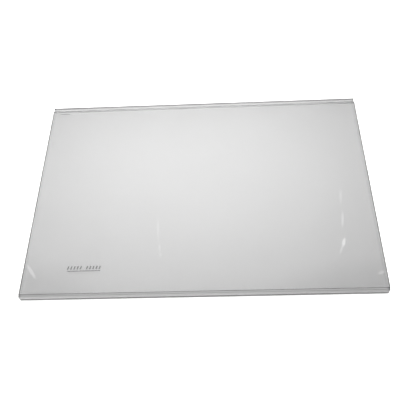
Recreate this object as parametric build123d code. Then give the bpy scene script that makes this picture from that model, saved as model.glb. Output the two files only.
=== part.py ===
from build123d import *
import os

# Refrigerator shelf: a flat glass pane with a clear push-on trim along its front edge and another along its rear.
# Millimetres. X runs along the width, Y from front to rear, Z up. The origin is under the middle of the shelf.

# Glass pane
glass_width = 520.0
glass_depth = 357.0
glass_thickness = 4.0
glass_corner_radius = 5.0
glass_arris = 0.5

# Both trims: a U-channel whose lower lip carries the glass and whose upper lip grips it through small ribs
trim_wall = 1.6
trim_end_inset = 1.4
lip_clearance = 0.3
lip_edge_radius = 0.4
foot_radius = 1.5
rib_count = 2
rib_width = 0.5

# Front trim, with a low rounded bead along its nose
front_nose = 3.0
front_grip = 3.6
front_plan_radius = 3.5
bead_rise = 0.8
bead_flat = 0.2
bead_nose_radius = 2.2

# Rear trim, with a low stop along its back
rear_nose = 3.0
rear_grip = 3.0
rear_plan_radius = 1.5
stop_thickness = 1.8
stop_rise = 1.4
stop_foot_radius = 1.0
stop_edge_radius = 0.9

# Heights, from the underside of the trims
glass_bottom = trim_wall
glass_top = glass_bottom + glass_thickness
slot_top = glass_top + lip_clearance
lip_top = slot_top + trim_wall
bead_top = lip_top + bead_rise
stop_top = lip_top + stop_rise

# Plan sizes
overall_depth = front_nose + glass_depth + rear_nose
trim_length = glass_width - 2 * trim_end_inset
glass_middle_y = (front_nose - rear_nose) / 2

# Roundings that follow the wall they stand on
lip_round = min(lip_edge_radius, 0.45 * trim_wall)
slot_round = 0.6 * glass_arris
bead_step_round = 0.45 * bead_rise
bead_width = bead_nose_radius + bead_flat + bead_step_round
stop_edge_round = min(stop_edge_radius, 0.45 * stop_thickness, 0.45 * stop_rise)
stop_foot_round = min(stop_foot_radius, 0.45 * stop_rise)


def make_glass_pane():
    """Flat pane with rounded corners and a ground arris along its upper and lower rims."""
    outline = RectangleRounded(glass_width, glass_depth, glass_corner_radius)
    pane = extrude(Pos(0, glass_middle_y, glass_bottom) * outline, glass_thickness)
    levels = pane.faces().sort_by(Axis.Z)
    return chamfer(levels[0].edges() + levels[-1].edges(), glass_arris)


def channel_corners(nose, grip):
    """Corners of the U-channel as distance in from the outer face, height and rounding, from the outer foot on."""
    reach = nose + grip
    return [
        (0, 0, foot_radius),
        (reach, 0, lip_round),
        (reach, glass_bottom, lip_round),
        (nose, glass_bottom, slot_round),
        (nose, slot_top, slot_round),
        (reach, slot_top, lip_round),
        (reach, lip_top, lip_round),
    ]


def bead_corners():
    """Corners of the front trim's bead, from the lip outwards."""
    return [
        (bead_width, lip_top, bead_step_round),
        (bead_width, bead_top, bead_step_round),
        (0, bead_top, bead_nose_radius),
    ]


def stop_corners():
    """Corners of the rear trim's stop, from the lip outwards."""
    return [
        (stop_thickness, lip_top, stop_foot_round),
        (stop_thickness, stop_top, stop_edge_round),
        (0, stop_top, stop_edge_round),
    ]


def grip_ribs(nose, grip):
    """Flat-tipped ribs under the upper lip that close its clearance on the glass."""
    pitch = grip / (rib_count + 1)
    middle = glass_top + lip_clearance / 2
    return [Pos(nose + pitch * (k + 1), middle) * Rectangle(rib_width, lip_clearance) for k in range(rib_count)]


def make_trim(nose, grip, crown, crown_top, plan_radius):
    """Trim with its outer face at y = 0 and its slot open towards +Y, its outer corners rounded in plan."""
    corners = channel_corners(nose, grip) + crown
    points = [(inward, height) for inward, height, rounding in corners]
    roundings = [rounding for inward, height, rounding in corners]
    section = make_face(FilletPolyline(*points, radius=roundings, close=True))
    for rib in grip_ribs(nose, grip):
        section += rib
    bar = extrude(Plane.YZ * section, trim_length / 2, both=True)
    end = trim_length / 2
    reach = nose + grip
    plan_points = [(-end, 0), (end, 0), (end, reach), (-end, reach)]
    plan = make_face(FilletPolyline(*plan_points, radius=[plan_radius, plan_radius, 0, 0], close=True))
    return bar & extrude(plan, crown_top)


front_trim = make_trim(front_nose, front_grip, bead_corners(), bead_top, front_plan_radius)
rear_trim = make_trim(rear_nose, rear_grip, stop_corners(), stop_top, rear_plan_radius)
pieces = {
    "glass_pane": make_glass_pane(),
    "front_trim": Pos(0, -overall_depth / 2, 0) * front_trim,
    "rear_trim": Pos(0, overall_depth / 2, 0) * Rot(0, 0, 180) * rear_trim,
}

os.makedirs("parts", exist_ok=True)
for name, piece in pieces.items():
    export_step(piece, f"parts/{name}.step")
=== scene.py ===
import math
from typing import NamedTuple

import bmesh
import bpy
from bpy.props import FloatProperty, FloatVectorProperty, IntProperty, PointerProperty
from mathutils import Matrix, Vector


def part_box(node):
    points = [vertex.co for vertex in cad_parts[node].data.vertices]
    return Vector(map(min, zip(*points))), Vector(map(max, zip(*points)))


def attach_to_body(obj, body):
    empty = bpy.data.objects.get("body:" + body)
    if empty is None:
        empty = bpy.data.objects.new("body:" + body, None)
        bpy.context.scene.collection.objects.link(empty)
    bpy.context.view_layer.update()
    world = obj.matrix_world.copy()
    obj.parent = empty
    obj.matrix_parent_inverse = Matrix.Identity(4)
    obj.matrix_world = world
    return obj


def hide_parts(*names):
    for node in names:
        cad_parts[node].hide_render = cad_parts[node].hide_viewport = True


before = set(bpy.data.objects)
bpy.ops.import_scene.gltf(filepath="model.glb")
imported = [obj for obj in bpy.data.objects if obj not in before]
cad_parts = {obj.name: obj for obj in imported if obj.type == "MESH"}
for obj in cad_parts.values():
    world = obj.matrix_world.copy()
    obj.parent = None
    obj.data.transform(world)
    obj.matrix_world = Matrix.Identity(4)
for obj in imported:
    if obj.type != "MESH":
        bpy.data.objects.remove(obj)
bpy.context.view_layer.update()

bl_info = {
    "name": "Fridge glass shelf",
    "version": (1, 0, 0),
    "blender": (4, 5, 0),
    "location": "3D View > Sidebar > Shelf",
    "description": "Builds a glass refrigerator shelf with two clear trims, and a studio to show it in",
    "category": "Add Mesh",
}

MM = 0.001

# Boxes of the solids, which the looks keep to
GLASS_LOW, GLASS_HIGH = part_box("glass_pane")
FRONT_LOW, FRONT_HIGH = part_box("front_trim")
REAR_LOW, REAR_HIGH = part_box("rear_trim")

TRIM_WALL = GLASS_LOW.z
FRONT_NOSE = GLASS_LOW.y - FRONT_LOW.y
REAR_NOSE = REAR_HIGH.y - GLASS_HIGH.y

# How strongly the two clear materials bend light
GLASS_IOR = 1.5
PLASTIC_IOR = 1.49

# Noise cells to a metre along X, Y and Z, and the noise's mean
CLOUD_CELLS = (9, 7, 9)
GRINDING_CELLS = (400, 400, 2500)
DRAWING_CELLS = (3, 1500, 1500)
INK_CELLS = (700, 700, 700)
PAPER_CELLS = (60, 60, 60)
NOISE_MEAN = 0.5

# Share of a wipe mark's reach that has its full strength
SMEAR_CORE = 0.35

# Dust and painted shade at a corner of a trim's section
CLEAN = 0.0
FULL = 1.0

# Where dust and painted shade change beside a rounded corner, in that corner's radii
FADE_RADII = 2
LIP_EDGE_RADII = 3
NOSE_RADII = 1.15

# Spare lengths that keep the cut of a trim's ends clean
PLAN_SPARE = 0.02 * MM
END_SPARE = 1 * MM

# Share of the ink's thickness that lies in the glass, so that no ink floats
INK_BITE = 1 / 3


def length(label, description, default):
    """A property for a size in metres."""
    text = {"name": label, "description": description}
    return FloatProperty(**text, default=default, min=0, unit="LENGTH", precision=5)


def point(label, description, default):
    """A property for a point in metres."""
    text = {"name": label, "description": description}
    return FloatVectorProperty(**text, default=default, subtype="XYZ", unit="LENGTH")


def angle(label, description, degrees):
    """A property for an angle, whose default is given in degrees."""
    text = {"name": label, "description": description}
    return FloatProperty(**text, default=math.radians(degrees), subtype="ANGLE")


def colour(label, description, default):
    """A property for a linear colour."""
    text = {"name": label, "description": description}
    return FloatVectorProperty(**text, default=default, min=0, max=1, subtype="COLOR")


def share(label, description, default):
    """A property for a share from 0 to 1."""
    text = {"name": label, "description": description}
    return FloatProperty(**text, default=default, min=0, max=1, subtype="FACTOR")


def strength(label, description, default):
    """A property for a brightness."""
    return FloatProperty(name=label, description=description, default=default, min=0)


def power(label, description, default):
    """A property for a lamp's power in watts."""
    return FloatProperty(name=label, description=description, default=default, min=0, unit="POWER")


def count(label, description, default, least):
    """A property for a number of copies or facets."""
    return IntProperty(name=label, description=description, default=default, min=least)


class GlassSettings(bpy.types.PropertyGroup):
    """Sizes and colours of the pane."""

    corner_radius: length("Corner radius", "Rounding of the pane's corners in plan", 5 * MM)
    corner_steps: count("Corner steps", "Facets in each rounded corner", 10, 2)
    arris: length("Arris", "Width of the ground bevel along the upper and lower rims", 0.5 * MM)
    air_gap: length("Air gap", "Film of air between the glass and the trims", 0.02 * MM)
    tint: colour("Tint", "What the glass passes where it is dark", (0.533, 0.533, 0.5345))
    smear: colour("Smear", "What the glass passes where it is smeared", (1.0, 1.0, 1.0))
    film: share("Film", "How smeared the glass is all over", 0.5)
    cloud: share("Cloud", "How much the film varies", 0.12)
    haze_roughness: share("Haze roughness", "Spread of the sheen of fine wear on the glass", 0.386)
    edge_tint: colour("Edge tint", "Colour of the ground edge inside the trims", (0.9, 0.9, 0.9))
    # Painted shade: the ground edge at the bare sides is drawn near black
    side_shade: colour("Side tint", "Colour of the bare ground edge at the sides", (0.03, 0.03, 0.03))
    grinding: share("Grinding", "How much the grinding marks darken the edge", 0.3)
    # Painted shade: the glass is drawn darker close to its bare sides
    shade: share("Shade", "How much less smeared the glass is close to its bare sides", 0.34)
    shade_start: length("Shade start", "Distance from the bare sides where the shade sets in", 6.5 * MM)
    shade_full: length("Shade full", "Distance from the bare sides where the shade is full", 1.2 * MM)
    # Painted shade: a dark line along the bare sides, with less sheen on it
    rim_width: length("Rim width", "Width of the dark line along the bare sides", 2.0 * MM)
    rim_shade: colour("Rim tint", "What the glass passes along the bare sides", (0.3, 0.3, 0.3))
    rim_dulling: share("Rim dulling", "Share of the sheen that the rim lacks", 0.75)


class TrimSettings(bpy.types.PropertyGroup):
    """Sizes, dust and colours of the clear trims."""

    lip_clearance: length("Lip clearance", "Gap between the glass and the upper lip", 0.3 * MM)
    lip_radius: length("Lip radius", "Rounding of the lips' edges", 0.4 * MM)
    slot_radius: length("Slot radius", "Rounding inside the slot", 0.3 * MM)
    foot_radius: length("Foot radius", "Rounding of the outer lower corner", 1.5 * MM)
    rib_count: count("Ribs", "Grip ribs under each upper lip", 2, 0)
    rib_width: length("Rib width", "Width of each grip rib", 0.5 * MM)
    bead_nose: length("Bead nose", "Rounding of the front bead's nose", 2.2 * MM)
    bead_flat: length("Bead flat", "Flat top of the front bead", 0.2 * MM)
    bead_step: share("Bead step", "Rounding of the front bead's step as a share of its rise", 0.45)
    stop_thickness: length("Stop thickness", "Thickness of the rear stop", 1.8 * MM)
    stop_foot: length("Stop foot", "Rounding where the rear stop meets the lip", 0.63 * MM)
    stop_edge: length("Stop edge", "Rounding of the rear stop's upper edges", 0.63 * MM)
    front_plan_radius: length("Front plan radius", "Rounding of the front trim's corners in plan", 3.5 * MM)
    rear_plan_radius: length("Rear plan radius", "Rounding of the rear trim's corners in plan", 1.5 * MM)
    arc_steps: count("Arc steps", "Facets in each rounded corner", 10, 2)
    # Shares of dust and painted shade at the corners of the trims' sections
    rib_dust_and_shade: share("Rib dust", "Dust where a grip rib leaves the lip", 0.5)
    front_top_dust_and_shade: share("Front top dust", "Dust on top of the front trim's lip", 0.57)
    bead_top_dust_and_shade: share("Bead top dust", "Dust on top of the front bead", 0.6)
    bead_nose_dust_and_shade: share("Bead nose dust", "Dust on the front bead's nose", 0.41)
    # Painted shade on the front bead that grows towards its right end, where the light falls off
    bead_shade_start: length("Bead dust start", "Depth at which the bead's own dust sets in", 3.5 * MM)
    bead_shade_full: length("Bead dust full", "Depth at which the bead's own dust is full", 2.3 * MM)
    right_shade: share("Right dust", "Dust added towards the right end of the front bead", 0.12)
    rear_under_dust_and_shade: share("Rear under dust", "Dust on the rear trim's lower lip", 0.2)
    rear_slot_dust_and_shade: share("Rear slot dust", "Dust at the foot of the rear trim's slot", 0.08)
    rear_lip_dust_and_shade: share("Rear lip dust", "Dust on the edge of the rear trim's upper lip", 0.38)
    rear_top_dust_and_shade: share("Rear top dust", "Dust on top of the rear trim's lip", 0.62)
    stop_foot_dust_and_shade: share("Stop foot dust", "Dust at the foot of the rear stop", 0.7)
    stop_edge_dust_and_shade: share("Stop edge dust", "Dust on the rear stop's inner edge", 0.72)
    stop_back_dust_and_shade: share("Stop back dust", "Dust on the rear stop's outer edge", 0.6)
    # Darkening towards the trims' cut ends
    end_darkening: share("End dust", "Dust added at the front trim's cut ends", 0.27)
    end_darkening_width: length("End dust width", "Length of the dusty stretch at each end", 5 * MM)
    rear_end_share: share("Rear end share", "Share of the end dust that the rear trim has", 0.4)
    # Painted shade and dust both take the sheen away
    dust_and_shade_dulling: share("Dust dulling", "Share of the sheen that full dust takes away", 0.74)
    drawing: share("Drawing", "Strength of the faint lines along the plastic", 0.2)
    haze_roughness: share("Haze roughness", "Spread of the plastic's sheen", 0.386)
    tint: colour("Tint", "What the clean plastic passes in one crossing", (0.95, 0.95, 0.95))
    # Painted shade and dust both darken towards this colour
    grime_and_shade: colour("Grime", "Colour of the dust along the lips and edges", (0.03, 0.03, 0.03))


class MarkSettings(bpy.types.PropertyGroup):
    """Sizes, places and colours of the printed mark."""

    first_group: point("First group", "First bar of the left-hand group", (-193.6 * MM, -133.6 * MM, 0))
    second_group: point("Second group", "First bar of the right-hand group", (-166 * MM, -133.6 * MM, 0))
    group_size: count("Group size", "Bars in each group", 5, 1)
    bar_width: length("Bar width", "Width of each printed bar", 1.9 * MM)
    bar_height: length("Bar height", "Height of each printed bar", 5.6 * MM)
    bar_pitch: length("Bar pitch", "From one bar to the next", 4.6 * MM)
    lean: angle("Lean", "Lean of the bars to the right", 14)
    line_middle: point("Line middle", "Middle of the line under the bars", (-170.6 * MM, -138.9 * MM, 0))
    line_length: length("Line length", "Length of the line under the bars", 48.5 * MM)
    dash_middle: point("Dash middle", "Middle of the dash near the rear", (-238.6 * MM, 169.2 * MM, 0))
    dash_length: length("Dash length", "Length of the dash near the rear", 16.5 * MM)
    line_width: length("Line width", "Width of the line and the dash", 1.2 * MM)
    film: length("Film", "Thickness of the ink", 0.03 * MM)
    ink: colour("Ink", "Colour of the ink", (0.12, 0.12, 0.12))
    worn_ink: colour("Worn ink", "Colour of the ink where it is worn", (0.24, 0.24, 0.24))


class StudioSettings(bpy.types.PropertyGroup):
    """Camera, lamps, sky and floor."""

    lens: FloatProperty(name="Lens", description="Focal length", default=54, min=1, unit="CAMERA")
    distance: length("Distance", "From the camera to the point that it looks at", 0.92468)
    azimuth: angle("Azimuth", "Turn of the camera to the right of the front", 4.6997)
    elevation: angle("Elevation", "Height of the camera above the horizon", 55.0668)
    roll: angle("Roll", "Turn of the camera about its line of sight", -5.4091)
    aim: point("Aim", "Point that the camera looks at", (-0.00301, -0.01985, 0.0056))
    key_azimuth: angle("Key azimuth", "Turn of the pair of key lamps from the rear", -6.27)
    key_spread: angle("Key spread", "Turn of each key lamp from the pair's middle", 10.97)
    key_elevation: angle("Key elevation", "Height of the key lamps above the horizon", 52)
    key_strength: strength("Key strength", "Brightness of each key lamp", 1.25)
    fill_strength: strength("Fill strength", "Brightness of the lamp that whitens the floor", 2.5)
    left_pool: point("Left pool", "Place of the left lamp over the glass", (-0.129, 0.071, 0.388))
    left_pool_power: power("Left pool power", "Power of the left lamp over the glass", 3.86)
    right_pool: point("Right pool", "Place of the right lamp over the glass", (0.128, 0.065, 0.298))
    right_pool_power: power("Right pool power", "Power of the right lamp over the glass", 1.24)
    sky_lean: angle("Sky lean", "Lean of the soft sky light to the rear", 30)
    sky_strength: strength("Sky strength", "Brightness that the middle of the sky light adds", 1.0)
    shade_strength: strength("Shade strength", "Brightness away from the sky light", 1.0)
    mirror_strength: strength("Mirror strength", "Brightness of the sky in reflections", 0.55)
    horizon_strength: strength("Horizon strength", "Brightness near the horizon in reflections", 0.9)
    glow_start: share("Glow start", "Height in the sky where the horizon's glow sets in", 0.62)
    glow_full: share("Glow full", "Height in the sky where the horizon's glow is full", 0.2)
    floor_size: length("Floor size", "Side of the square floor", 30)
    floor_gap: length("Floor gap", "How far the floor lies under the shelf", 0.2 * MM)
    floor_colour: colour("Floor colour", "Colour of the pale floor", (0.86, 0.86, 0.86))
    floor_grain: share("Floor grain", "How much darker the floor is in its grain", 0.02)


class Wire:
    """An output socket that can stand in an expression: each operator adds a Math node to its tree."""

    def __init__(self, graph, socket):
        self.graph = graph
        self.socket = socket

    def combined(self, operation, left, right):
        return self.graph.add("ShaderNodeMath", {"operation": operation}, {0: left, 1: right})

    def __add__(self, other):
        return self.combined("ADD", self, other)

    def __radd__(self, other):
        return self.combined("ADD", other, self)

    def __sub__(self, other):
        return self.combined("SUBTRACT", self, other)

    def __rsub__(self, other):
        return self.combined("SUBTRACT", other, self)

    def __mul__(self, other):
        return self.combined("MULTIPLY", self, other)

    def __rmul__(self, other):
        return self.combined("MULTIPLY", other, self)

    def __truediv__(self, other):
        return self.combined("DIVIDE", self, other)

    def __rtruediv__(self, other):
        return self.combined("DIVIDE", other, self)


class Graph:
    """A node tree that is filled by calls."""

    def __init__(self, tree):
        self.tree = tree
        tree.nodes.clear()

    def add(self, kind, settings=None, sockets=None, output=0):
        """Adds a node, applies its settings, then fills its sockets, and returns one of its outputs."""
        node = self.tree.nodes.new(kind)
        for name, value in (settings or {}).items():
            setattr(node, name, value)
        for key, value in (sockets or {}).items():
            self.feed(node.inputs[key], value)
        return Wire(self, node.outputs[output]) if node.outputs else None

    def feed(self, socket, value):
        """Links a wire, or each wire of a list, to a socket, or gives the socket a plain value."""
        if isinstance(value, list):
            for wire in value:
                self.feed(socket, wire)
        elif isinstance(value, Wire):
            self.tree.links.new(value.socket, socket)
        else:
            socket.default_value = value


def object_place(graph):
    """Object coordinates, in metres from the shelf's origin."""
    return graph.add("ShaderNodeTexCoord", output="Object")


def coordinate(graph, vector, axis):
    """One coordinate of a vector."""
    return graph.add("ShaderNodeSeparateXYZ", None, {0: vector}, output=axis)


def along_axis(graph, axis, value):
    """A vector along one axis."""
    return graph.add("ShaderNodeCombineXYZ", None, {axis: value})


def side_distance(graph, place):
    """Distance to the left or right of the shelf's middle."""
    return graph.add("ShaderNodeMath", {"operation": "ABSOLUTE"}, {0: coordinate(graph, place, "X")})


def faded(graph, value, start, end, low=0.0, high=1.0):
    """A smooth step from low to high as value goes from start to end."""
    settings = {"interpolation_type": "SMOOTHSTEP"}
    return graph.add("ShaderNodeMapRange", settings, {0: value, 1: start, 2: end, 3: low, 4: high})


def blended(graph, amount, first, second):
    """A colour between two colours."""
    settings = {"data_type": "RGBA", "clamp_factor": True}
    return graph.add("ShaderNodeMix", settings, {0: amount, 6: first, 7: second}, output=2)


def stretched_noise(graph, place, cells, detail):
    """Noise with its own number of cells to a metre along each axis."""
    stretched = graph.add("ShaderNodeMapping", None, {"Vector": place, "Scale": cells})
    return graph.add("ShaderNodeTexNoise", None, {"Vector": stretched, "Scale": 1.0, "Detail": detail})


def new_material(name):
    """An empty node material and its graph."""
    material = bpy.data.materials.new(name)
    material.use_nodes = True
    return material, Graph(material.node_tree)


def finish_material(graph, sockets):
    """Ends a material in one Principled shader."""
    shader = graph.add("ShaderNodeBsdfPrincipled", None, sockets)
    graph.add("ShaderNodeOutputMaterial", None, {"Surface": shader})


def rgba(rgb):
    """A colour property as the four numbers that a socket takes."""
    return (*rgb, 1.0)


class Smear(NamedTuple):
    """A soft spot on the glass, in millimetres and degrees: a pale wipe mark, or painted shade if its
    strength is below zero.
    """

    x: float
    y: float
    half_length: float
    half_width: float
    turn: float
    strength: float


# Wipe marks, then two wide places of painted shade in the front corners
SMEARS_AND_SHADE = (
    Smear(-247.8, -137.1, 20, 3.5, -55, 0.6),
    Smear(-65.9, -69.1, 27, 2.4, -87, 0.2),
    Smear(-62.1, -102.3, 8, 2.2, -86, 0.27),
    Smear(-60.9, -114.2, 4.5, 2.8, -55, 0.24),
    Smear(211.9, -18.5, 18, 3.6, 83, 0.24),
    Smear(209.4, -60.2, 17, 2.7, 83, 0.38),
    Smear(208.5, -67, 9, 2.7, 83, 0.08),
    Smear(206.1, -100.3, 10.5, 3.5, 73, 1.0),
    Smear(201, -112.3, 9, 2.6, 68, 0.37),
    Smear(251.2, -150.8, 7.5, 3.6, 25, 0.5),
    # Painted shade: the glass is darker towards its two front corners
    Smear(-250, -185, 130, 80, 0, -0.2),
    Smear(235, -178, 150, 65, 0, -0.25),
)


def smear_or_shade_mask(graph, place, smear):
    """A long soft spot that tapers to both ends."""
    turned = graph.add(
        "ShaderNodeMapping",
        {"vector_type": "TEXTURE"},
        {
            "Vector": place,
            "Location": (smear.x * MM, smear.y * MM, 0),
            "Rotation": (0, 0, math.radians(smear.turn)),
            "Scale": (smear.half_length * MM, smear.half_width * MM, 1),
        },
    )
    away = graph.add("ShaderNodeVectorMath", {"operation": "LENGTH"}, {0: turned}, output="Value")
    return faded(graph, away, 1.0, SMEAR_CORE, 0.0, smear.strength)


def clear_glass(settings):
    """Grey-tinted float glass with a cloudy film, wipe marks and fine wear, and painted shade at its bare
    sides and front corners.
    """
    material, graph = new_material("clear_glass")
    place = object_place(graph)
    smears_and_shade = sum(smear_or_shade_mask(graph, place, smear) for smear in SMEARS_AND_SHADE)
    cloud = stretched_noise(graph, place, CLOUD_CELLS, 2.0)
    across = side_distance(graph, place)
    # Painted shade that darkens the glass towards its bare sides
    shade_start = GLASS_HIGH.x - settings.shade_start
    shade_full = GLASS_HIGH.x - settings.shade_full
    shade = faded(graph, across, shade_start, shade_full, 0.0, settings.shade)
    marks = smears_and_shade + (cloud - NOISE_MEAN) * settings.cloud
    smeared = settings.film + (1 - settings.film) * marks - shade
    base = blended(graph, smeared, rgba(settings.tint), rgba(settings.smear))
    # Painted shade along the bare sides: a dark colour and less sheen
    rim_start = GLASS_HIGH.x - settings.rim_width
    rim = faded(graph, across, rim_start, rim_start + settings.rim_width / 2)
    finish_material(
        graph,
        {
            "Base Color": blended(graph, rim, base, rgba(settings.rim_shade)),
            "Roughness": 0.0,
            "IOR": GLASS_IOR,
            "Transmission Weight": 1.0,
            "Coat Weight": 1 - settings.rim_dulling * rim,
            "Coat Roughness": settings.haze_roughness,
        },
    )
    return material


def ground_edge(settings):
    """Satin ground edge of the pane, with painted shade that makes it dark at the bare sides."""
    material, graph = new_material("ground_edge")
    place = object_place(graph)
    grinding = stretched_noise(graph, place, GRINDING_CELLS, 3.0)
    across = side_distance(graph, place)
    # Painted shade: near black at the bare sides, pale inside the trims
    bare = faded(graph, across, GLASS_HIGH.x - settings.corner_radius, GLASS_HIGH.x - settings.arris)
    base = blended(graph, bare, rgba(settings.edge_tint), rgba(settings.side_shade))
    base = blended(graph, settings.grinding * grinding, base, (0, 0, 0, 1))
    sockets = {"Base Color": base, "Roughness": 0.45, "IOR": GLASS_IOR, "Transmission Weight": 0.5}
    finish_material(graph, sockets)
    return material


def trim_dust_and_shade(graph, settings):
    """Dust and painted shade on the trims: what their points carry, painted shade growing towards the right
    of the bead, and darkening at the cut ends.
    """
    place = object_place(graph)
    depth = coordinate(graph, place, "Y")
    # Painted shade on the bead, growing towards the right where the light falls off
    bead_start = FRONT_LOW.y + settings.bead_shade_start
    bead_full = FRONT_LOW.y + settings.bead_shade_full
    bead = faded(graph, depth, bead_start, bead_full)
    right = faded(graph, coordinate(graph, place, "X"), 0.0, GLASS_HIGH.x, 0.0, settings.right_shade)
    # Darker towards the cut ends of both trims, less so on the rear one
    end_start = FRONT_HIGH.x - settings.end_darkening_width
    ends = faded(graph, side_distance(graph, place), end_start, FRONT_HIGH.x, 0.0, settings.end_darkening)
    end_share = faded(graph, depth, REAR_LOW.y, FRONT_HIGH.y, settings.rear_end_share, 1.0)
    # Dust and painted shade that the section's corners carry
    carried = graph.add("ShaderNodeAttribute", {"attribute_name": "dust"}, output="Fac")
    return carried + bead * right + ends * end_share


def clear_plastic(settings):
    """Clear extruded plastic with faint drawn lines along it, dull and dark where dust sits on it and where
    shade is painted on it.
    """
    material, graph = new_material("clear_plastic")
    drawing = stretched_noise(graph, object_place(graph), DRAWING_CELLS, 3.0)
    dust = trim_dust_and_shade(graph, settings)
    lined = dust + (drawing - NOISE_MEAN) * settings.drawing
    finish_material(
        graph,
        {
            "Base Color": blended(graph, lined, rgba(settings.tint), rgba(settings.grime_and_shade)),
            "Roughness": 0.0,
            "IOR": PLASTIC_IOR,
            "Transmission Weight": 0.5,
            "Coat Weight": 1 - settings.dust_and_shade_dulling * dust,
            "Coat Roughness": settings.haze_roughness,
        },
    )
    return material


def printed_ink(settings):
    """Dull grey ink, a little worn."""
    material, graph = new_material("printed_ink")
    wear = stretched_noise(graph, object_place(graph), INK_CELLS, 2.0)
    base = blended(graph, wear, rgba(settings.ink), rgba(settings.worn_ink))
    finish_material(graph, {"Base Color": base, "Roughness": 0.6, "Specular IOR Level": 0.0})
    return material


def floor_paper(settings):
    """Plain pale paper."""
    material, graph = new_material("floor_paper")
    grain = stretched_noise(graph, object_place(graph), PAPER_CELLS, 4.0)
    dark = tuple((1 - settings.floor_grain) * part for part in settings.floor_colour)
    base = blended(graph, grain, rgba(dark), rgba(settings.floor_colour))
    finish_material(graph, {"Base Color": base, "Roughness": 0.9, "Specular IOR Level": 0.1})
    return material


def show(name, data):
    """A new object in the scene with this mesh, light or camera."""
    shown = bpy.data.objects.new(name, data)
    bpy.context.scene.collection.objects.link(shown)
    return shown


def attach(piece, slot, *nodes):
    """Makes a piece ride on the shelf and stand for these solids, if any, which it hides; its slot is not
    used.
    """
    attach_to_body(piece, "root")
    if nodes:
        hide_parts(*nodes)


def tidy_mesh(mesh, merge=1e-6, sharp_angle=math.radians(28)):
    """Merges doubles, turns the faces outwards, and shades round stretches smooth and corners sharp."""
    work = bmesh.new()
    work.from_mesh(mesh)
    bmesh.ops.remove_doubles(work, verts=work.verts, dist=merge)
    bmesh.ops.recalc_face_normals(work, faces=work.faces)
    work.to_mesh(mesh)
    work.free()
    mesh.shade_smooth()
    mesh.set_sharp_from_angle(angle=sharp_angle)


def rounded_outline(half_x, half_y, radius, steps):
    """Points of a rectangle with rounded corners, anticlockwise from its right-hand side."""
    points = []
    for quarter, (side_x, side_y) in enumerate(((1, 1), (-1, 1), (-1, -1), (1, -1))):
        middle = Vector((side_x * (half_x - radius), side_y * (half_y - radius)))
        for step in range(steps + 1):
            bearing = math.radians(90) * (quarter + step / steps)
            points.append(middle + radius * Vector((math.cos(bearing), math.sin(bearing))))
    return points


def pane_mesh(settings):
    """The pane as four rounded rings, from the lower rim to the upper, closed by its two faces."""
    gap = settings.air_gap
    half = (GLASS_HIGH - GLASS_LOW) / 2 - Vector((0, gap, gap))
    middle = (GLASS_HIGH + GLASS_LOW) / 2
    arris = settings.arris
    levels = (
        (arris, middle.z - half.z),
        (0, middle.z - half.z + arris),
        (0, middle.z + half.z - arris),
        (arris, middle.z + half.z),
    )
    work = bmesh.new()
    rings = []
    for inset, height in levels:
        radius = settings.corner_radius - inset
        outline = rounded_outline(half.x - inset, half.y - inset, radius, settings.corner_steps)
        rings.append([work.verts.new((middle.x + p.x, middle.y + p.y, height)) for p in outline])
    for lower, upper in zip(rings, rings[1:]):
        for k in range(len(lower)):
            after = (k + 1) % len(lower)
            side = work.faces.new((lower[k], lower[after], upper[after], upper[k]))
            side.material_index = 1
    work.faces.new(reversed(rings[0]))
    work.faces.new(rings[-1])
    mesh = bpy.data.meshes.new("glass_pane_looks")
    work.to_mesh(mesh)
    work.free()
    return mesh


def geometry_tree(name, inputs):
    """A Geometry Nodes tree with named inputs; gives its graph and the inputs' sockets."""
    tree = bpy.data.node_groups.new(name, "GeometryNodeTree")
    tree.interface.new_socket("Geometry", in_out="OUTPUT", socket_type="NodeSocketGeometry")
    for label, kind in {"Geometry": "Geometry", **inputs}.items():
        tree.interface.new_socket(label, in_out="INPUT", socket_type="NodeSocket" + kind)
    graph = Graph(tree)
    source = tree.nodes.new("NodeGroupInput")
    return graph, {socket.name: Wire(graph, socket) for socket in source.outputs if socket.name}


def close_tree(graph, shape, material):
    """Ends a Geometry Nodes tree in plain geometry with its material."""
    whole = graph.add("GeometryNodeRealizeInstances", None, {"Geometry": shape})
    painted = graph.add("GeometryNodeSetMaterial", None, {"Geometry": whole, "Material": material})
    graph.add("NodeGroupOutput", None, {"Geometry": painted})
    return graph.tree


def carried_value(graph, name, kind="FLOAT"):
    """A value that the points of a mesh carry by name."""
    return graph.add("GeometryNodeInputNamedAttribute", {"data_type": kind}, {"Name": name})


def evaluated(name, seed_mesh, tree, values):
    """Runs a tree on a seed mesh and returns the plain mesh that it makes."""
    carrier = show(name + "_seed", seed_mesh)
    modifier = carrier.modifiers.new("shape", "NODES")
    modifier.node_group = tree
    for item in tree.interface.items_tree:
        if item.in_out == "INPUT" and item.name in values:
            modifier[item.identifier] = values[item.name]
    depsgraph = bpy.context.evaluated_depsgraph_get()
    mesh = bpy.data.meshes.new_from_object(carrier.evaluated_get(depsgraph))
    mesh.name = name
    bpy.data.objects.remove(carrier)
    return mesh


def drawn_bar(graph, given):
    """The section with its corners rounded, drawn along the width a little past both ends."""
    corners = graph.add("GeometryNodeMeshToCurve", None, {"Mesh": given["Geometry"]})
    rounded = {"Curve": corners, "Count": given["Arc Steps"], "Radius": carried_value(graph, "rounding")}
    section = graph.add("GeometryNodeFilletCurve", {"mode": "POLY"}, rounded)
    end = given["Length"] / 2 + END_SPARE
    run = {"Start": along_axis(graph, "X", 0 - end), "End": along_axis(graph, "X", end)}
    path = graph.add("GeometryNodeCurvePrimitiveLine", None, run)
    upright = graph.add("GeometryNodeSetCurveTilt", None, {"Curve": path, "Tilt": math.pi})
    drawn = {"Curve": upright, "Profile Curve": section, "Fill Caps": True}
    return graph.add("GeometryNodeCurveToMesh", None, drawn)


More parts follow.
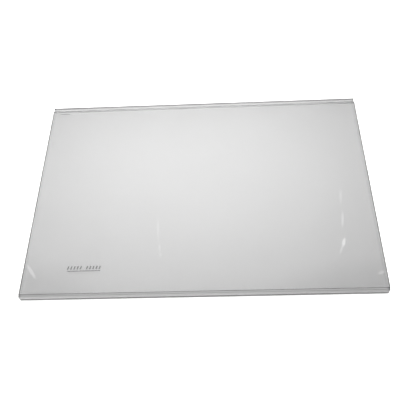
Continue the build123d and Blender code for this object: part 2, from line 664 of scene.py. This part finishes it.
def plan_column(graph, given):
    """A tall column over the trim's plan, whose two outer corners are rounded."""
    plan_size = {"Width": given["Length"], "Height": given["Reach"] + 2 * PLAN_SPARE}
    plan = graph.add("GeometryNodeCurvePrimitiveQuadrilateral", None, plan_size)
    across = coordinate(graph, graph.add("GeometryNodeInputPosition"), "Y")
    outer = graph.add("ShaderNodeMath", {"operation": "LESS_THAN"}, {0: across, 1: 0.0})
    rounded = {"Curve": plan, "Count": 2 * given["Arc Steps"], "Radius": outer * given["Plan Radius"]}
    plan = graph.add("GeometryNodeFilletCurve", {"mode": "POLY"}, rounded)
    foot = along_axis(graph, "Z", 0 - given["Height"])
    top = along_axis(graph, "Z", given["Height"] * 2)
    rise = graph.add("GeometryNodeCurvePrimitiveLine", None, {"Start": foot, "End": top})
    raised = {"Curve": rise, "Profile Curve": plan, "Fill Caps": True}
    column = graph.add("GeometryNodeCurveToMesh", None, raised)
    middle = along_axis(graph, "Y", given["Reach"] / 2)
    return graph.add("GeometryNodeTransform", None, {"Geometry": column, "Translation": middle})


def trim_tree():
    """Draws a section along the width, cuts it to its plan, carries its dust and painted shade over and
    sets it in place.
    """
    inputs = {
        "Length": "Float",
        "Reach": "Float",
        "Height": "Float",
        "Plan Radius": "Float",
        "Arc Steps": "Int",
        "Turn": "Float",
        "Outer Face": "Float",
        "Material": "Material",
    }
    graph, given = geometry_tree("trim", inputs)
    bar = drawn_bar(graph, given)
    column = plan_column(graph, given)
    common = {"operation": "INTERSECT", "solver": "EXACT"}
    cut = graph.add("GeometryNodeMeshBoolean", common, {"Mesh 2": [bar, column]})
    source = {"Mesh": bar, "Value": carried_value(graph, "dust")}
    uncut = graph.add("GeometryNodeSampleNearestSurface", {"data_type": "FLOAT"}, source)
    kept = {"Geometry": cut, "Name": "dust", "Value": uncut}
    dusted = graph.add("GeometryNodeStoreNamedAttribute", {"data_type": "FLOAT", "domain": "POINT"}, kept)
    place = along_axis(graph, "Y", given["Outer Face"])
    turn = along_axis(graph, "Z", given["Turn"])
    moved = {"Geometry": dusted, "Translation": place, "Rotation": turn}
    return close_tree(graph, graph.add("GeometryNodeTransform", None, moved), given["Material"])


class Corner(NamedTuple):
    """A corner of a trim's section: how far in it is from the outer face, how high and round, and how much
    dust and painted shade it has.
    """

    inward: float
    height: float
    rounding: float
    dust: float


class ChannelDustAndShade(NamedTuple):
    """Dust and painted shade on a channel: on its lower lip, at the foot of its slot, and on the upper
    lip's edge and top.
    """

    under: float
    slot: float
    edge: float
    top: float


def lip_underside(settings):
    """Height of the upper lip's underside."""
    return GLASS_HIGH.z + settings.lip_clearance


def lip_top(settings):
    """Height of the upper lip's top."""
    return lip_underside(settings) + TRIM_WALL


def rib_corners(settings, nose, reach):
    """Corners of the grip ribs under the upper lip, from the slot's foot to its mouth."""
    root = lip_underside(settings)
    pitch = (reach - nose) / (settings.rib_count + 1)
    half_rib = settings.rib_width / 2
    corners = []
    for k in range(settings.rib_count):
        middle = nose + pitch * (k + 1)
        corners += [
            # Dust and painted shade on the ribs, full at their tips against the glass
            Corner(middle - half_rib, root, 0, settings.rib_dust_and_shade),
            Corner(middle - half_rib, GLASS_HIGH.z, 0, FULL),
            Corner(middle + half_rib, GLASS_HIGH.z, 0, FULL),
            Corner(middle + half_rib, root, 0, settings.rib_dust_and_shade),
        ]
    return corners


def channel_corners(settings, nose, reach, dust):
    """The U-channel's corners from the outer foot round the slot to the top of the upper lip."""
    underside = lip_underside(settings)
    top = lip_top(settings)
    edge_width = LIP_EDGE_RADII * settings.lip_radius
    return [
        # Painted shade: full darkness at the foot, where the trim meets the floor
        Corner(0, 0, settings.foot_radius, FULL),
        Corner(reach, 0, settings.lip_radius, dust.under),
        Corner(reach, GLASS_LOW.z, settings.lip_radius, dust.under),
        Corner(nose, GLASS_LOW.z, settings.slot_radius, dust.slot),
        Corner(nose, underside, settings.slot_radius, CLEAN),
        *rib_corners(settings, nose, reach),
        Corner(reach, underside, settings.lip_radius, dust.edge),
        Corner(reach, top, settings.lip_radius, dust.edge),
        Corner(reach - edge_width, top, 0, dust.top),
    ]


def bead_corners(settings):
    """The front bead's corners, from the lip outwards and down the nose."""
    lip = lip_top(settings)
    step = settings.bead_step * (FRONT_HIGH.z - lip)
    back = settings.bead_nose + settings.bead_flat + step
    nose_foot = FRONT_HIGH.z - NOSE_RADII * settings.bead_nose
    return [
        Corner(back + FADE_RADII * step, lip, 0, settings.front_top_dust_and_shade),
        # Painted shade: full darkness in the bead's step
        Corner(back, lip, step, FULL),
        Corner(back, FRONT_HIGH.z, step, settings.bead_top_dust_and_shade),
        Corner(0, FRONT_HIGH.z, settings.bead_nose, settings.bead_nose_dust_and_shade),
        # Painted shade: full darkness on the nose's upright face
        Corner(0, nose_foot, 0, FULL),
    ]


def stop_corners(settings):
    """The rear stop's corners, from the lip outwards to the back."""
    lip = lip_top(settings)
    face = settings.stop_thickness
    # Dust and painted shade darken the stop's edges and foot
    return [
        Corner(face + FADE_RADII * settings.stop_foot, lip, 0, settings.rear_top_dust_and_shade),
        Corner(face, lip, settings.stop_foot, settings.stop_foot_dust_and_shade),
        Corner(face, REAR_HIGH.z, settings.stop_edge, settings.stop_edge_dust_and_shade),
        Corner(0, REAR_HIGH.z, settings.stop_edge, settings.stop_back_dust_and_shade),
    ]


def front_corners(settings):
    """The whole section of the front trim."""
    # The front lip's edge gets full painted shade
    dust = ChannelDustAndShade(CLEAN, CLEAN, FULL, settings.front_top_dust_and_shade)
    return channel_corners(settings, FRONT_NOSE, FRONT_HIGH.y - FRONT_LOW.y, dust) + bead_corners(settings)


def rear_corners(settings):
    """The whole section of the rear trim."""
    # Dust and painted shade on the rear channel
    dust = ChannelDustAndShade(
        settings.rear_under_dust_and_shade,
        settings.rear_slot_dust_and_shade,
        settings.rear_lip_dust_and_shade,
        settings.rear_top_dust_and_shade,
    )
    return channel_corners(settings, REAR_NOSE, REAR_HIGH.y - REAR_LOW.y, dust) + stop_corners(settings)


def section_mesh(name, corners):
    """A closed wire through a section's corners, with each corner's rounding, dust and painted shade on its
    point.
    """
    mesh = bpy.data.meshes.new(name)
    total = len(corners)
    points = [(corner.inward, corner.height, 0) for corner in corners]
    mesh.from_pydata(points, [(k, (k + 1) % total) for k in range(total)], [])
    for label in ("rounding", "dust"):
        values = mesh.attributes.new(label, "FLOAT", "POINT")
        values.data.foreach_set("value", [getattr(corner, label) for corner in corners])
    return mesh


def trim_values(low, high, plan_radius, turn, outer_face):
    """A trim's own inputs of the tree, from the box of its solid."""
    return {
        "Length": high.x - low.x,
        "Reach": high.y - low.y,
        "Height": high.z,
        "Plan Radius": plan_radius,
        "Turn": turn,
        "Outer Face": outer_face,
    }


class Bar(NamedTuple):
    """A printed bar: its middle on the glass, its width and height, and its lean to the right."""

    x: float
    y: float
    width: float
    height: float
    lean: float


def mark_bars(settings):
    """Two groups of leaning bars over a line near the front left corner, and a dash near the rear left."""
    bars = []
    for first in (settings.first_group, settings.second_group):
        for k in range(settings.group_size):
            x = first.x + k * settings.bar_pitch
            bars.append(Bar(x, first.y, settings.bar_width, settings.bar_height, settings.lean))
    line = settings.line_middle
    dash = settings.dash_middle
    bars.append(Bar(line.x, line.y, settings.line_length, settings.line_width, 0))
    # A short dark dash near the rear left, drawn in the same ink as the bars
    bars.append(Bar(dash.x, dash.y, settings.dash_length, settings.line_width, 0))
    return bars


def mark_points(settings, bars, glass_top):
    """A point for each printed bar, with the bar's size and lean."""
    mesh = bpy.data.meshes.new("printed_mark_points")
    height = glass_top + settings.film * (0.5 - INK_BITE)
    mesh.from_pydata([(bar.x, bar.y, height) for bar in bars], [], [])
    blocks = [(bar.width, bar.height, settings.film) for bar in bars]
    sizes = mesh.attributes.new("size", "FLOAT_VECTOR", "POINT")
    sizes.data.foreach_set("vector", [part for block in blocks for part in block])
    leans = mesh.attributes.new("lean", "FLOAT", "POINT")
    leans.data.foreach_set("value", [bar.lean for bar in bars])
    return mesh


def mark_tree():
    """Sets a bar of its own size and lean on each point."""
    graph, given = geometry_tree("printed_mark", {"Material": "Material"})
    size = carried_value(graph, "size", "FLOAT_VECTOR")
    turn = along_axis(graph, "Z", 0 - carried_value(graph, "lean"))
    block = graph.add("GeometryNodeMeshCube", None, {"Size": (1, 1, 1)})
    placed = {"Points": given["Geometry"], "Instance": block, "Rotation": turn, "Scale": size}
    bars = graph.add("GeometryNodeInstanceOnPoints", None, placed)
    return close_tree(graph, bars, given["Material"])


class SHELF_OT_glass_pane(bpy.types.Operator):
    """Builds the glass pane with its ground edge"""

    bl_idname = "shelf.glass_pane"
    bl_label = "Glass pane"

    def execute(self, context):
        settings = context.scene.shelf_glass
        mesh = pane_mesh(settings)
        mesh.materials.append(clear_glass(settings))
        mesh.materials.append(ground_edge(settings))
        tidy_mesh(mesh)
        attach(show("glass", mesh), "clear_glass", "glass_pane")
        return {"FINISHED"}


class SHELF_OT_trims(bpy.types.Operator):
    """Builds the clear trims of the front and rear edges"""

    bl_idname = "shelf.trims"
    bl_label = "Clear trims"

    def execute(self, context):
        settings = context.scene.shelf_trims
        shared = {"Arc Steps": settings.arc_steps, "Material": clear_plastic(settings)}
        tree = trim_tree()
        front = trim_values(FRONT_LOW, FRONT_HIGH, settings.front_plan_radius, 0.0, FRONT_LOW.y)
        rear = trim_values(REAR_LOW, REAR_HIGH, settings.rear_plan_radius, math.pi, REAR_HIGH.y)
        trims = (
            ("front_strip", "front_trim", front_corners(settings), front),
            ("rear_strip", "rear_trim", rear_corners(settings), rear),
        )
        for name, node, corners, values in trims:
            section = section_mesh(node + "_section", corners)
            mesh = evaluated(node + "_looks", section, tree, {**shared, **values})
            tidy_mesh(mesh)
            attach(show(name, mesh), "clear_trim", node)
        return {"FINISHED"}


class SHELF_OT_printed_mark(bpy.types.Operator):
    """Prints a plain mark of bars and lines on the glass"""

    bl_idname = "shelf.printed_mark"
    bl_label = "Printed mark"

    def execute(self, context):
        settings = context.scene.shelf_mark
        glass_top = GLASS_HIGH.z - context.scene.shelf_glass.air_gap
        points = mark_points(settings, mark_bars(settings), glass_top)
        mesh = evaluated("printed_mark", points, mark_tree(), {"Material": printed_ink(settings)})
        tidy_mesh(mesh)
        attach(show("printed_mark", mesh), "clear_glass")
        return {"FINISHED"}


def lay_floor(settings):
    """The pale floor, a hair under the shelf."""
    half = settings.floor_size / 2
    rim = [(-half, -half), (half, -half), (half, half), (-half, half)]
    mesh = bpy.data.meshes.new("floor")
    mesh.from_pydata([(x, y, -settings.floor_gap) for x, y in rim], [], [(0, 1, 2, 3)])
    mesh.materials.append(floor_paper(settings))
    floor = show("floor", mesh)
    return floor


def view_turn(settings):
    """How the camera is turned."""
    swing = Matrix.Rotation(settings.azimuth, 4, "Z")
    tilt = Matrix.Rotation(math.pi / 2 - settings.elevation, 4, "X")
    roll = Matrix.Rotation(settings.roll, 4, "Z")
    return swing @ tilt @ roll


def set_camera(scene, settings, turn):
    """The camera, backed away from the point that it looks at."""
    camera = bpy.data.cameras.new("camera")
    camera.lens = settings.lens
    back = turn.to_3x3() @ Vector((0, 0, 1))
    eye = show("camera", camera)
    eye.matrix_world = Matrix.Translation(Vector(settings.aim) + back * settings.distance) @ turn
    scene.camera = eye


def gathered(name, *pieces):
    """A collection of pieces for a lamp to light, or to be shaded by."""
    collection = bpy.data.collections.new(name)
    for piece in pieces:
        collection.objects.link(piece)
    return collection


def hung_lamp(name, kind, energy, lit, shading=None):
    """A lamp that lights one collection alone and is shaded by another, or by everything if it has none."""
    light = bpy.data.lights.new(name, kind)
    light.energy = energy
    lamp = show(name, light)
    lamp.light_linking.receiver_collection = lit
    lamp.light_linking.blocker_collection = shading
    return lamp


def hang_key_lamps(scene, settings):
    """Two hard lamps high behind the shelf, seen only in the sheen of the trims."""
    trims = gathered("trims", scene.objects["front_strip"], scene.objects["rear_strip"])
    shading = gathered("shading", scene.objects["glass"])
    for side in (-1, 1):
        lamp = hung_lamp("key", "SUN", settings.key_strength, trims, shading)
        lamp.data.angle = 0
        azimuth = settings.key_azimuth + side * settings.key_spread
        lamp.rotation_euler = (settings.key_elevation - math.pi / 2, 0, -azimuth)
        lamp.visible_diffuse = False
        lamp.visible_transmission = False


def hang_fill_lamp(settings, floor, turn):
    """A lamp on the camera's line of sight that whitens the floor: the shelf hides its own shadow."""
    lamp = hung_lamp("fill", "SUN", settings.fill_strength, gathered("whitened", floor))
    lamp.data.angle = 0
    lamp.matrix_world = turn


def hang_pool_lamps(scene, settings, floor):
    """Two small lamps over the glass that light the rear trim and the floor seen through the glass."""
    lit = gathered("pooled", floor, scene.objects["rear_strip"])
    shading = gathered("pool_shading", scene.objects["front_strip"])
    pools = (
        (settings.left_pool, settings.left_pool_power),
        (settings.right_pool, settings.right_pool_power),
    )
    for place, watts in pools:
        lamp = hung_lamp("pool", "POINT", watts, lit, shading)
        lamp.data.shadow_soft_size = 0
        lamp.location = place


def studio_world(settings):
    """Soft light that grows towards one place in the sky; reflections see an even sky with a pale foot."""
    world = bpy.data.worlds.new("studio")
    world.use_nodes = True
    graph = Graph(world.node_tree)
    direction = graph.add("ShaderNodeTexCoord", output="Generated")
    sky = (0, math.sin(settings.sky_lean), math.cos(settings.sky_lean))
    alike = {0: direction, 1: sky}
    alike = graph.add("ShaderNodeVectorMath", {"operation": "DOT_PRODUCT"}, alike, output="Value")
    facing = graph.add("ShaderNodeMath", {"operation": "MAXIMUM"}, {0: alike, 1: 0.0})
    soft = settings.shade_strength + settings.sky_strength * facing
    height = coordinate(graph, direction, "Z")
    levels = (settings.mirror_strength, settings.horizon_strength)
    glow = faded(graph, height, settings.glow_start, settings.glow_full, *levels)
    mirrored = graph.add("ShaderNodeLightPath", output="Is Glossy Ray")
    brightness = soft + mirrored * (glow - soft)
    light = graph.add("ShaderNodeBackground", None, {"Color": (1, 1, 1, 1), "Strength": brightness})
    graph.add("ShaderNodeOutputWorld", None, {"Surface": light})
    return world


class SHELF_OT_studio(bpy.types.Operator):
    """Lays the pale floor and sets the camera, the lamps and the sky"""

    bl_idname = "shelf.studio"
    bl_label = "Studio"

    def execute(self, context):
        scene = context.scene
        settings = scene.shelf_studio
        floor = lay_floor(settings)
        turn = view_turn(settings)
        set_camera(scene, settings, turn)
        hang_key_lamps(scene, settings)
        hang_fill_lamp(settings, floor, turn)
        hang_pool_lamps(scene, settings, floor)
        scene.world = studio_world(settings)
        scene.view_settings.view_transform = "Standard"
        return {"FINISHED"}


class SHELF_PT_panel(bpy.types.Panel):
    """Lists the shelf's pieces"""

    bl_idname = "SHELF_PT_panel"
    bl_label = "Glass shelf"
    bl_space_type = "VIEW_3D"
    bl_region_type = "UI"
    bl_category = "Shelf"

    def draw(self, context):
        for operator in OPERATORS:
            self.layout.operator(operator.bl_idname)


OPERATORS = (SHELF_OT_glass_pane, SHELF_OT_trims, SHELF_OT_printed_mark, SHELF_OT_studio)
SETTINGS = {
    "shelf_glass": GlassSettings,
    "shelf_trims": TrimSettings,
    "shelf_mark": MarkSettings,
    "shelf_studio": StudioSettings,
}
CLASSES = (*SETTINGS.values(), *OPERATORS, SHELF_PT_panel)


def register():
    """Makes the classes and their settings known to Blender."""
    for each in CLASSES:
        bpy.utils.register_class(each)
    for name, group in SETTINGS.items():
        setattr(bpy.types.Scene, name, PointerProperty(type=group))


def unregister():
    """Takes the settings and the classes away again."""
    for name in SETTINGS:
        delattr(bpy.types.Scene, name)
    for each in reversed(CLASSES):
        bpy.utils.unregister_class(each)


def main():
    """Builds the shelf and its studio."""
    register()
    bpy.ops.shelf.glass_pane()
    bpy.ops.shelf.trims()
    bpy.ops.shelf.printed_mark()
    bpy.ops.shelf.studio()


if __name__ == "__main__":
    main()
